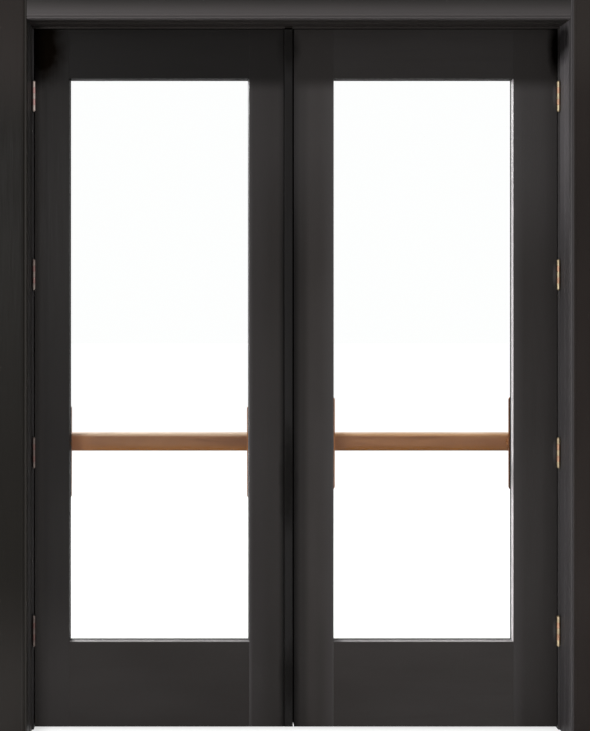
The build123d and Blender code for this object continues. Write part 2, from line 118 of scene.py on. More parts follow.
class Tree:
    """A shader node tree that is filled node by node."""

    def __init__(self, tree: bpy.types.NodeTree) -> None:
        """Takes the tree to fill."""
        self.tree = tree

    def feed(self, socket: bpy.types.NodeSocket, source: object) -> None:
        """Gives a socket its value, or links it to the socket that feeds it.

        Args:
            socket: The input socket.
            source: A number, a tuple or an output socket.
        """
        if isinstance(source, bpy.types.NodeSocket):
            self.tree.links.new(source, socket)
        elif isinstance(source, tuple) and socket.type == "RGBA":
            socket.default_value = (*source, 1.0)
        else:
            socket.default_value = source

    def give(self, node: bpy.types.Node, **feeds: object) -> None:
        """Feeds a node's inputs by their names, with underscores for spaces."""
        for name, source in feeds.items():
            self.feed(node.inputs[name.replace("_", " ")], source)

    def add(self, kind: str, **feeds: object) -> bpy.types.Node:
        """Adds a node and feeds its inputs by name.

        Args:
            kind: The node's type without its ShaderNode prefix.
            feeds: What each named input gets, with underscores for spaces.

        Returns:
            The new node.
        """
        node = self.tree.nodes.new("ShaderNode" + kind)
        self.give(node, **feeds)
        return node

    def fill(self, kind: str, operation: str | None, *sources: object) -> bpy.types.Node:
        """Adds a node whose inputs share a name, and feeds them in their order.

        Args:
            kind: The node's type without its ShaderNode prefix.
            operation: What it does, where it has a choice.
            sources: What each input gets, from the first one on.

        Returns:
            The new node.
        """
        node = self.add(kind)
        if operation:
            node.operation = operation
        for socket, source in zip(node.inputs, sources):
            self.feed(socket, source)
        return node

    def clamped(self, operation: str, first: object, second: object) -> bpy.types.NodeSocket:
        """What two values make together, held between 0 and 1.

        Args:
            operation: The Math node's operation.
            first: The first value or socket.
            second: The second value or socket.

        Returns:
            The result.
        """
        node = self.fill("Math", operation, first, second)
        node.use_clamp = True
        return node.outputs[0]

    def mix(self, share: object, first: object, second: object) -> bpy.types.NodeSocket:
        """A colour between two others.

        Args:
            share: How much of the second colour there is.
            first: The first colour.
            second: The second colour.

        Returns:
            The mixed colour.
        """
        node = self.add("Mix")
        node.data_type = "RGBA"
        factor, start, end = node.inputs["Factor"], node.inputs[6], node.inputs[7]
        for socket, source in ((factor, share), (start, first), (end, second)):
            self.feed(socket, source)
        return node.outputs[2]

    def span(
        self, value: object, low: float, high: float, out_low: float = 0.0, out_high: float = 1.0
    ) -> bpy.types.NodeSocket:
        """A value carried from one range to another, and held inside it.

        Args:
            value: The value to carry over.
            low: Where the first range starts.
            high: Where the first range ends.
            out_low: Where the second range starts.
            out_high: Where the second range ends.

        Returns:
            The value in the second range.
        """
        node = self.add("MapRange", Value=value, From_Min=low, From_Max=high, To_Min=out_low, To_Max=out_high)
        return node.outputs[0]

    def between(self, mask: object, low: float, high: float) -> bpy.types.NodeSocket:
        """A mask carried to a range, low where the mask is 0 and high where it is 1."""
        return self.span(mask, 0.0, 1.0, low, high)

    def stretched(self, vector: object, factors: Place) -> bpy.types.NodeSocket:
        """A vector with each of its parts multiplied by its own factor."""
        return self.fill("VectorMath", "MULTIPLY", vector, factors).outputs[0]

    def noise(
        self, vector: object, scale: object, detail: float, roughness: float = 0.5, distortion: object = 0.0
    ) -> bpy.types.NodeSocket:
        """An uneven cloud.

        Args:
            vector: The coordinates that it reads.
            scale: How many of its lumps a metre has.
            detail: How many finer layers it has.
            roughness: How strong the finer layers are.
            distortion: How far it is stirred.

        Returns:
            The cloud's value at each place.
        """
        cloud = self.add("TexNoise", Vector=vector, Scale=scale, Detail=detail)
        self.give(cloud, Roughness=roughness, Distortion=distortion)
        return cloud.outputs[0]

    def relief(self, height: object, strength: float, distance: float) -> bpy.types.NodeSocket:
        """The normals of a surface in relief, where a height of one stands the distance out, in metres."""
        return self.add("Bump", Strength=strength, Distance=distance, Height=height).outputs[0]


class Effect(Tree):
    """A shader node group with named inputs and outputs."""

    def __init__(self, name: str, numbers: dict[str, float], outputs: tuple[str, ...]) -> None:
        """Makes the empty group.

        Args:
            name: The group's name.
            numbers: Its number inputs with their usual values.
            outputs: Its outputs, all of them masks or heights.
        """
        super().__init__(bpy.data.node_groups.new(name, "ShaderNodeTree"))
        sockets = self.tree.interface
        sockets.new_socket("Vector", in_out="INPUT", socket_type="NodeSocketVector")
        for label, usual in numbers.items():
            socket = sockets.new_socket(label, in_out="INPUT", socket_type="NodeSocketFloat")
            socket.default_value = usual
        for label in outputs:
            sockets.new_socket(label, in_out="OUTPUT", socket_type="NodeSocketFloat")
        self.given = self.tree.nodes.new("NodeGroupInput").outputs
        self.exit = self.tree.nodes.new("NodeGroupOutput")

    def drawn_out(self, share: float) -> bpy.types.NodeSocket:
        """The given coordinates, shrunk upright to a share so that a pattern on them is drawn out."""
        return self.stretched(self.given["Vector"], (1.0, 1.0, share))


class Effects:
    """The effects that several finishes share, each built once."""

    made: dict[str, bpy.types.NodeTree] = {}

    @classmethod
    def use(cls, tree: Tree, name: str, vector: object, **values: object) -> bpy.types.bpy_prop_collection:
        """Places an effect in a material.

        Args:
            tree: The material's tree.
            name: The effect's name, which is also that of its method here.
            vector: The coordinates that it reads.
            values: What its number inputs get.

        Returns:
            The effect's outputs.
        """
        if name not in cls.made:
            cls.made[name] = getattr(cls, name)()
        node = tree.tree.nodes.new("ShaderNodeGroup")
        node.node_tree = cls.made[name]
        tree.give(node, Vector=vector, **values)
        return node.outputs

    @staticmethod
    def timber_grain() -> bpy.types.NodeTree:
        """Long wandering grain lines and fine open pores, upright in the given coordinates."""
        effect = Effect("timber_grain", {"Rings": 26.0, "Wander": 0.8}, ("Figure", "Pores"))
        rings, wander = effect.given["Rings"], effect.given["Wander"]
        figure = effect.noise(effect.drawn_out(0.05), rings, 5.0, roughness=0.62, distortion=wander)
        pores = effect.noise(effect.drawn_out(0.025), scale=420.0, detail=2.0)
        effect.give(effect.exit, Figure=figure, Pores=effect.span(pores, low=0.56, high=0.72))
        return effect.tree

    @staticmethod
    def brushwork() -> bpy.types.NodeTree:
        """Faint brush streaks and broad uneven patches in paint."""
        effect = Effect("brushwork", {"Patch": 2.4}, ("Streaks", "Patches"))
        streaks = effect.noise(effect.drawn_out(0.03), scale=190.0, detail=3.0, roughness=0.55)
        patches = effect.noise(effect.drawn_out(0.35), effect.given["Patch"], detail=3.0)
        effect.give(effect.exit, Streaks=effect.span(streaks, 0.3, 0.7))
        effect.give(effect.exit, Patches=effect.span(patches, 0.35, 0.65))
        return effect.tree

    @staticmethod
    def worn_edges() -> bpy.types.NodeTree:
        """Where a corner is rubbed, broken up so that it is uneven along its length."""
        effect = Effect("worn_edges", {"Reach": 0.0015, "Chips": 60.0, "Amount": 0.6}, ("Mask",))
        rounded = effect.add("Bevel", Radius=effect.given["Reach"])
        rounded.samples = 4
        surface = effect.add("NewGeometry").outputs["Normal"]
        turn = effect.fill("VectorMath", "DOT_PRODUCT", rounded.outputs[0], surface).outputs["Value"]
        corner = effect.span(effect.clamped("SUBTRACT", 1.0, turn), low=0.01, high=0.16)
        chips = effect.noise(effect.given["Vector"], effect.given["Chips"], detail=4.0, roughness=0.65)
        broken = effect.clamped("MULTIPLY", corner, effect.span(chips, 0.42, 0.62, out_low=0.15))
        effect.give(effect.exit, Mask=effect.clamped("MULTIPLY", broken, effect.given["Amount"]))
        return effect.tree

    @staticmethod
    def hollows_and_tops() -> bpy.types.NodeTree:
        """Masks of corners and gaps, found by occlusion, that darken paint with dirt and painted shade and
        metal with tarnish, and of what faces up, for dust, and on the bar for a painted highlight.
        """
        effect = Effect("hollows_and_tops", {"Reach": 0.03, "Amount": 0.5}, ("Hollows", "FacingUp"))
        open_sky = effect.add("AmbientOcclusion", Distance=effect.given["Reach"])
        open_sky.samples = 4
        hidden = effect.clamped("SUBTRACT", 1.0, open_sky.outputs["AO"])
        cloud = effect.noise(effect.given["Vector"], scale=9.0, detail=4.0, roughness=0.6)
        uneven = effect.span(cloud, 0.35, 0.7, out_low=0.4)
        grime_and_shade = effect.clamped("MULTIPLY", effect.span(hidden, 0.25, 0.95), uneven)
        normal = effect.add("NewGeometry").outputs["Normal"]
        upward = effect.add("SeparateXYZ", Vector=normal).outputs["Z"]
        dust = effect.clamped("MULTIPLY", effect.span(upward, 0.6, 1.0), uneven)
        for label, mask in (("Hollows", grime_and_shade), ("FacingUp", dust)):
            effect.give(effect.exit, **{label: effect.clamped("MULTIPLY", mask, effect.given["Amount"])})
        return effect.tree


class Finish:
    """What every finish shares: a material made once, with coordinates turned along its grain."""

    name: str

    def material(self) -> bpy.types.Material:
        """The finish's material, built on first use."""
        found = bpy.data.materials.get(self.name)
        if found:
            return found
        made = bpy.data.materials.new(self.name)
        made.use_nodes = True
        made.node_tree.nodes.clear()
        tree = Tree(made.node_tree)
        shader = tree.add("BsdfPrincipled")
        self.paint(tree, shader)
        if not any(node.type == "OUTPUT_MATERIAL" for node in made.node_tree.nodes):
            tree.add("OutputMaterial", Surface=shader.outputs[0])
        return made

    def paint(self, tree: Tree, shader: bpy.types.Node) -> None:
        """Feeds the material's Principled shader. Each finish has its own way."""
        raise NotImplementedError

    @staticmethod
    def place(tree: Tree, grain: Grain = Grain.UPRIGHT) -> bpy.types.NodeSocket:
        """Object coordinates, turned so that the grain is upright."""
        coordinates = tree.add("TexCoord").outputs["Object"]
        return tree.add("Mapping", Vector=coordinates, Rotation=grain.value).outputs[0]


@dataclass(frozen=True)
class LightAndShadePatch:
    """A soft-edged patch of painted shade, or of painted highlight where its colour is light, as wide and
    tall as its reach, dark unless it has its own colour.
    """

    middle: Place
    reach: Place
    depth: float = 0.9
    colour: Colour = (0.0020, 0.0015, 0.0012)
    # Deep painted shade, drawn as black metal so that it mirrors less than paint.
    deep_shade: bool = False
    ragged: float = 0.9
    rim: float = 1.75
    heart: float = 0.95

    def mask(self, tree: Tree, place: object, cloud: object) -> bpy.types.NodeSocket:
        """How much of the patch there is at each place.

        Args:
            tree: The material's tree.
            place: The object coordinates.
            cloud: A noise that makes the patch's edge uneven.

        Returns:
            The mask.
        """
        offset = tree.fill("VectorMath", "SUBTRACT", place, self.middle).outputs[0]
        scaled = tree.stretched(offset, tuple(1.0 / part for part in self.reach))
        far = tree.fill("VectorMath", "LENGTH", scaled).outputs["Value"]
        spread = tree.fill("Math", "MULTIPLY_ADD", cloud, self.ragged, far).outputs[0]
        return tree.span(spread, self.rim, self.heart, out_high=self.depth)


@dataclass(frozen=True)
class Shade:
    """Painted light or painted shade that comes in softly along an axis, from none at its far end to all of
    it at its near end.
    """

    axis: Axis
    far: float
    near: float
    colour: Colour
    amount: float = 0.9

    def mask(self, tree: Tree, place: bpy.types.NodeSocket) -> bpy.types.NodeSocket:
        """How much of the tone there is at each place.

        Args:
            tree: The material's tree.
            place: The object coordinates.

        Returns:
            The mask.
        """
        along = tree.add("SeparateXYZ", Vector=place).outputs[self.axis.value]
        soft = tree.add("MapRange", Value=tree.span(along, self.far, self.near), To_Max=self.amount)
        soft.interpolation_type = "SMOOTHSTEP"
        return soft.outputs[0]


@dataclass(frozen=True)
class SatinPaint(Finish):
    """Dark satin paint brushed over timber, so that the grain shows faintly under it."""

    name: str
    grain: Grain
    colour: Colour = (0.0120, 0.0110, 0.0108)
    pale: Colour = (0.0185, 0.0173, 0.0172)
    rubbed: Colour = (0.060, 0.056, 0.054)
    grime_and_shade: Colour = (0.0030, 0.0026, 0.0022)
    dust: Colour = (0.050, 0.047, 0.043)
    sheen: float = 0.06
    grime_and_shade_amount: float = 0.35
    wear: float = 0.45
    # Patches of painted shade and painted highlight.
    light_and_shade_patches: tuple[LightAndShadePatch, ...] = ()
    shades: tuple[Shade, ...] = ()
    corner_reach: float = 0.0014
    grime_and_shade_reach: float = 0.030
    grain_share: float = 0.35
    smooth: float = 0.36
    rough: float = 0.48
    grimy_roughness: float = 0.3
    figure_height: float = 0.5
    streak_height: float = 0.28
    pore_depth: float = 0.2

    def paint(self, tree: Tree, shader: bpy.types.Node) -> None:
        """Mixes patches, painted light and shade, rubbed corners, dust, and dirt with painted shade in the
        hollows, with streaks and grain in relief.

        Args:
            tree: The material's tree.
            shader: Its Principled node.
        """
        place = self.place(tree, self.grain)
        grain = Effects.use(tree, "timber_grain", place)
        brush = Effects.use(tree, "brushwork", place)
        worn = Effects.use(tree, "worn_edges", place, Reach=self.corner_reach, Amount=self.wear)
        hollow_and_top_masks = Effects.use(tree, "hollows_and_tops", place, Reach=self.grime_and_shade_reach, Amount=self.grime_and_shade_amount)
        here = tree.add("TexCoord").outputs["Object"]
        colour = tree.mix(brush["Patches"], self.colour, self.pale)
        showing = tree.span(grain["Figure"], 0.45, 0.75, out_high=self.grain_share)
        colour = tree.mix(showing, colour, self.colour)
        # Painted light and painted shade, laid over the paint.
        for shade in self.shades:
            colour = tree.mix(shade.mask(tree, here), colour, shade.colour)
        colour = tree.mix(worn["Mask"], colour, self.rubbed)
        colour = tree.mix(hollow_and_top_masks["FacingUp"], colour, self.dust)
        # Dirt and painted shade in corners and gaps.
        colour = tree.mix(hollow_and_top_masks["Hollows"], colour, self.grime_and_shade)
        colour, deep_shade_mask = self.with_light_and_shade_patches(tree, here, colour)
        rough = tree.between(brush["Streaks"], self.smooth, self.rough)
        rough = tree.clamped("ADD", rough, tree.between(hollow_and_top_masks["Hollows"], 0.0, self.grimy_roughness))
        height = tree.between(grain["Figure"], 0.0, self.figure_height)
        height = tree.clamped("ADD", height, tree.between(brush["Streaks"], 0.0, self.streak_height))
        height = tree.clamped("SUBTRACT", height, tree.between(grain["Pores"], 0.0, self.pore_depth))
        normal = tree.relief(height, strength=0.55, distance=0.0007)
        tree.give(shader, Base_Color=colour, Metallic=deep_shade_mask, Roughness=rough, Normal=normal)
        tree.give(shader, Specular_IOR_Level=self.sheen)

    def with_light_and_shade_patches(self, tree: Tree, here: bpy.types.NodeSocket, colour: object) -> tuple[object, object]:
        """Lays the patches of painted shade and painted highlight over the paint.

        Args:
            tree: The material's tree.
            here: The object coordinates.
            colour: The paint's colour so far.

        Returns:
            The colour, and how deep the painted shade is. The deepest painted shade is set as black metal,
            which mirrors less than paint.
        """
        deep_shade_mask = 0.0
        if not self.light_and_shade_patches:
            return colour, deep_shade_mask
        cloud = tree.noise(here, scale=14.0, detail=4.0, roughness=0.6)
        for patch in self.light_and_shade_patches:
            mask = patch.mask(tree, here, cloud)
            colour = tree.mix(mask, colour, patch.colour)
            if patch.deep_shade:
                deep_shade_mask = tree.clamped("MAXIMUM", deep_shade_mask, mask)
        return colour, deep_shade_mask


@dataclass(frozen=True)
class OiledTimber(Finish):
    """Reddish-brown timber, oiled and polished by hands, with its grain along the bar."""

    name: str = "oiled_timber"
    tone: float = 1.0
    shades: tuple[Shade, ...] = ()
    dark: Colour = (0.055, 0.021, 0.009)
    middle: Colour = (0.114, 0.047, 0.021)
    light: Colour = (0.153, 0.072, 0.033)
    worn: Colour = (0.24, 0.125, 0.065)
    upward_highlight: Colour = (0.70, 0.56, 0.46)
    sheen: float = 0.12
    smooth: float = 0.42
    rough: float = 0.60

    def paint(self, tree: Tree, shader: bpy.types.Node) -> None:
        """Mixes three tones along the grain, with pores in relief and paler rubbed corners.

        Args:
            tree: The material's tree.
            shader: Its Principled node.
        """
        place = self.place(tree, Grain.LEVEL)
        grain = Effects.use(tree, "timber_grain", place, Rings=34.0, Wander=1.6)
        brush = Effects.use(tree, "brushwork", place, Patch=5.0)
        worn = Effects.use(tree, "worn_edges", place, Reach=0.004, Chips=24.0, Amount=0.55)
        hollow_and_top_masks = Effects.use(tree, "hollows_and_tops", place, Reach=0.02, Amount=0.9)
        here = tree.add("TexCoord").outputs["Object"]
        colour = tree.mix(tree.span(grain["Figure"], 0.36, 0.62), self.light, self.middle)
        colour = tree.mix(tree.span(grain["Figure"], 0.55, 0.72), colour, self.dark)
        colour = tree.mix(tree.between(brush["Patches"], 0.0, 0.35), colour, self.middle)
        colour = tree.mix(tree.between(grain["Pores"], 0.0, 0.55), colour, self.dark)
        colour = tree.stretched(colour, (self.tone, self.tone, self.tone))
        # Painted light and painted shade along the bar.
        for shade in self.shades:
            colour = tree.mix(shade.mask(tree, here), colour, shade.colour)
        colour = tree.mix(worn["Mask"], colour, self.worn)
        # A pale painted highlight on what faces up.
        colour = tree.mix(hollow_and_top_masks["FacingUp"], colour, self.upward_highlight)
        rough = tree.span(grain["Figure"], 0.3, 0.7, self.smooth, self.rough)
        ridges = tree.between(grain["Figure"], 0.2, 0.7)
        height = tree.clamped("SUBTRACT", ridges, tree.between(grain["Pores"], 0.0, 0.3))
        normal = tree.relief(height, strength=0.6, distance=0.0004)
        tree.give(shader, Base_Color=colour, Roughness=rough, Normal=normal, Specular_IOR_Level=self.sheen)


@dataclass(frozen=True)
class AgedMetal(Finish):
    """Satin metal with fine turning lines, tarnished patches, dark corners and bright edges."""

    name: str
    bright: Colour
    tarnished: Colour
    dark: Colour
    tarnish: float = 0.4
    smooth: float = 0.24
    rough: float = 0.5
    turning: Place = (0.05, 0.05, 1.0)

    def paint(self, tree: Tree, shader: bpy.types.Node) -> None:
        """Mixes tarnish, dark corners and bright edges over the bare metal.

        Args:
            tree: The material's tree.
            shader: Its Principled node.
        """
        place = self.place(tree)
        cloud = tree.noise(place, scale=34.0, detail=5.0, roughness=0.62)
        fine = tree.noise(tree.stretched(place, self.turning), scale=1400.0, detail=2.0)
        worn = Effects.use(tree, "worn_edges", place, Reach=0.0006, Chips=150.0, Amount=0.7)
        hollow_and_top_masks = Effects.use(tree, "hollows_and_tops", place, Reach=0.006, Amount=0.9)
        patches = tree.clamped("MULTIPLY", tree.span(cloud, 0.38, 0.62, out_low=0.35), self.tarnish)
        colour = tree.mix(patches, self.bright, self.tarnished)
        colour = tree.mix(worn["Mask"], colour, self.bright)
        colour = tree.mix(hollow_and_top_masks["Hollows"], colour, self.dark)
        rough = tree.span(cloud, 0.3, 0.7, self.smooth, self.rough)
        normal = tree.relief(fine, strength=0.35, distance=0.0001)
        tree.give(shader, Base_Color=colour, Metallic=1.0, Roughness=rough, Normal=normal)


@dataclass(frozen=True)
class SealRubber(Finish):
    """Matt black rubber with a soft uneven bloom."""

    name: str = "seal_rubber"
    black: Colour = (0.010, 0.010, 0.010)
    bloom: Colour = (0.034, 0.034, 0.035)

    def paint(self, tree: Tree, shader: bpy.types.Node) -> None:
        """Mixes a grey bloom and dust over the black.

        Args:
            tree: The material's tree.
            shader: Its Principled node.
        """
        place = self.place(tree)
        brush = Effects.use(tree, "brushwork", place, Patch=12.0)
        hollow_and_top_masks = Effects.use(tree, "hollows_and_tops", place, Reach=0.01, Amount=0.5)
        colour = tree.mix(brush["Patches"], self.black, self.bloom)
        colour = tree.mix(hollow_and_top_masks["FacingUp"], colour, self.bloom)
        rough = tree.between(brush["Streaks"], 0.62, 0.82)
        normal = tree.relief(brush["Streaks"], strength=0.3, distance=0.0002)
        tree.give(shader, Base_Color=colour, Roughness=rough, Normal=normal)


@dataclass(frozen=True)
class ClearPane(Finish):
    """Clear float glass, very slightly wavy, with faint smears."""

    name: str = "clear_pane"
    tint: Colour = (0.985, 0.995, 0.990)
    index: float = 1.15
    smear_stretch: Place = (1.0, 1.0, 0.3)
    smear_roughness: float = 0.035

    def paint(self, tree: Tree, shader: bpy.types.Node) -> None:
        """Sets the glass, lets lamplight through it, and gives it waves and smears.

        Args:
            tree: The material's tree.
            shader: Its Principled node.
        """
        place = self.place(tree)
        waves = tree.noise(place, scale=3.0, detail=1.0)
        smears = tree.noise(tree.stretched(place, self.smear_stretch), scale=6.0, detail=4.0)
        rough = tree.span(smears, 0.5, 0.75, out_high=self.smear_roughness)
        normal = tree.relief(waves, strength=0.05, distance=0.002)
        tree.give(shader, Base_Color=self.tint, IOR=self.index, Roughness=rough, Normal=normal)
        tree.give(shader, Transmission_Weight=1.0)
        passing = tree.add("BsdfTransparent", Color=self.tint)
        lamplight = tree.add("LightPath").outputs["Is Shadow Ray"]
        blend = tree.fill("MixShader", None, lamplight, shader.outputs[0], passing.outputs[0])
        tree.add("OutputMaterial", Surface=blend.outputs[0])


def take(*pieces: bpy.types.Object) -> None:
    """Selects only these pieces, with the first one active."""
    if bpy.context.object and bpy.context.object.mode != "OBJECT":
        bpy.ops.object.mode_set(mode="OBJECT")
    bpy.ops.object.select_all(action="DESELECT")
    for piece in pieces:
        piece.select_set(True)
    bpy.context.view_layer.objects.active = pieces[0]


def apply_modifier(piece: bpy.types.Object, kind: str, **settings: object) -> None:
    """Adds a modifier to a piece and applies it.

    Args:
        piece: The piece.
        kind: The modifier's type.
        settings: The modifier's properties.
    """
    take(piece)
    modifier = piece.modifiers.new(kind.lower(), kind)
    for name, value in settings.items():
        setattr(modifier, name, value)
    bpy.ops.object.modifier_apply(modifier=modifier.name)


def ease(piece: bpy.types.Object, arris: float, strips: int = 2, angle: float = ARRIS_ANGLE) -> None:
    """Rounds a piece's arrises and shades it smooth, with its flats kept flat.

    Args:
        piece: The piece.
        arris: How far the rounding reaches.
        strips: How many strips the rounding has.
        angle: The smallest turn, in degrees, that counts as an arris.
    """
    apply_modifier(
        piece,
        "BEVEL",
        width=arris,
        segments=strips,
        limit_method="ANGLE",
        angle_limit=math.radians(angle),
        use_clamp_overlap=True,
        miter_outer="MITER_ARC",
    )
    take(piece)
    bpy.ops.object.shade_smooth_by_angle(angle=math.radians(angle))
    apply_modifier(piece, "WEIGHTED_NORMAL", keep_sharp=True, weight=FLAT_WEIGHT)


def copy_of_node(node: str, name: str) -> bpy.types.Object:
    """A new piece with the shape of a node, its loose triangles joined into faces.

    Args:
        node: The node.
        name: The new piece's name.

    Returns:
        The new piece.
    """
    piece = bpy.data.objects.new(name, frame["nodes"][node].data.copy())
    piece.data.name = name
    bpy.context.scene.collection.objects.link(piece)
    take(piece)
    bpy.ops.mesh.customdata_custom_splitnormals_clear()
    bpy.ops.object.mode_set(mode="EDIT")
    bpy.ops.mesh.select_all(action="SELECT")
    bpy.ops.mesh.remove_doubles(threshold=SAME_PLACE)
    bpy.ops.mesh.dissolve_limited(angle_limit=SAME_PLANE)
    bpy.ops.object.mode_set(mode="OBJECT")
    return piece


def hang(piece: bpy.types.Object, finish: Finish, body: Body, slot: Slot, *nodes: str) -> bpy.types.Object:
    """Gives a piece its finish and its body, and hides the nodes that it stands for.

    Args:
        piece: The finished piece.
        finish: Its finish.
        body: The body it moves with.
        slot: Not used.
        nodes: The nodes it stands for.

    Returns:
        The piece.
    """
    piece.data.materials.clear()
    piece.data.materials.append(finish.material())
    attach(piece, body.value)
    if nodes:
        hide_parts(*nodes)
    log.info("%s: %d faces", piece.name, len(piece.data.polygons))
    return piece


def copies(master: bpy.types.Object, places: list[Matrix], name: str) -> bpy.types.Object:
    """One piece made of a master's copies, each in its place. The master is used up.

    Args:
        master: The piece that was modelled once, at the origin.
        places: Where each copy goes.
        name: The new piece's name.

    Returns:
        The joined piece.
    """
    made = []
    for place in places:
        copy = bpy.data.objects.new(name, master.data.copy())
        bpy.context.scene.collection.objects.link(copy)
        copy.data.transform(place)
        made.append(copy)
    bpy.data.objects.remove(master)
    take(*made)
    if len(made) > 1:
        bpy.ops.object.join()
    made[0].name = name
    made[0].data.name = name
    return made[0]


def turned(name: str, rings: list[tuple[float, float]], sides: int) -> bpy.types.Object:
    """A turned piece on the Z axis, drawn out ring by ring from its foot.

    Args:
        name: The piece's name.
        rings: The radius and height of each ring, from the foot up.
        sides: How many sides it has.

    Returns:
        The closed piece.
    """
    radius, height = rings[0]
    bpy.ops.object.select_all(action="DESELECT")
    foot = (0.0, 0.0, height)
    bpy.ops.mesh.primitive_circle_add(vertices=sides, radius=radius, fill_type="NGON", location=foot)
    piece = bpy.context.object
    piece.name = name
    bpy.ops.object.transform_apply(location=True, rotation=False, scale=False)
    bpy.ops.object.mode_set(mode="EDIT")
    bpy.ops.mesh.select_all(action="SELECT")
    for new_radius, new_height in rings[1:]:
        rise = Vector((0.0, 0.0, new_height - height))
        bpy.ops.mesh.extrude_region_move(TRANSFORM_OT_translate={"value": rise})
        share = new_radius / radius
        bpy.ops.transform.resize(value=(share, share, 1.0), center_override=(0.0, 0.0, new_height))
        radius, height = new_radius, new_height
    bpy.ops.mesh.select_all(action="SELECT")
    bpy.ops.mesh.normals_make_consistent(inside=False)
    bpy.ops.object.mode_set(mode="OBJECT")
    return piece


@dataclass(frozen=True)
class ScrewHead:
    """A cross-recessed screw head with a crowned top, drawn at the origin and facing up."""

    radius: float
    rise: float
    seat: float = 0.0006
    recess: float = 0.0011
    blade: float = 0.0009
    blade_reach: float = 1.15
    sides: int = 20
    crown: tuple[float, ...] = (0.0, 0.5, 0.9, 1.25)

    def make(self, name: str) -> bpy.types.Object:
        """Turns the head and cuts its cross.

        Args:
            name: The piece's name.

        Returns:
            The screw head.
        """
        rings = [(self.radius, -self.seat)]
        rings += [(self.radius * math.cos(turn), self.rise * math.sin(turn)) for turn in self.crown]
        head = turned(name, rings, self.sides)
        top = (0.0, 0.0, self.rise)
        for turn in (0.0, math.pi / 2):
            bpy.ops.object.select_all(action="DESELECT")
            bpy.ops.mesh.primitive_cube_add(size=1.0, location=top, rotation=(0.0, 0.0, turn))
            cutter = bpy.context.object
            cutter.scale = (self.radius * self.blade_reach, self.blade, self.recess * 2)
            bpy.ops.object.transform_apply(location=True, rotation=True, scale=True)
            apply_modifier(head, "BOOLEAN", object=cutter, operation="DIFFERENCE", solver="EXACT")
            bpy.data.objects.remove(cutter)
        take(head)
        bpy.ops.object.shade_smooth_by_angle(angle=math.radians(ARRIS_ANGLE))
        return head


@dataclass(frozen=True)
class Boards:
    """Painted boards: copies of their nodes with eased arrises."""

    arris: float = 0.0009

    def make(self, node: str, finish: Finish, body: Body, arris: float | None = None) -> bpy.types.Object:
        """Dresses one board.

        Args:
            node: The node of the board.
            finish: Its paint.
            body: The body it moves with.
            arris: Its own arris, where that differs.

        Returns:
            The board.
        """
        board = copy_of_node(node, node + "_board")
        ease(board, self.arris if arris is None else arris)
        return hang(board, finish, body, Slot.PAINT, node)


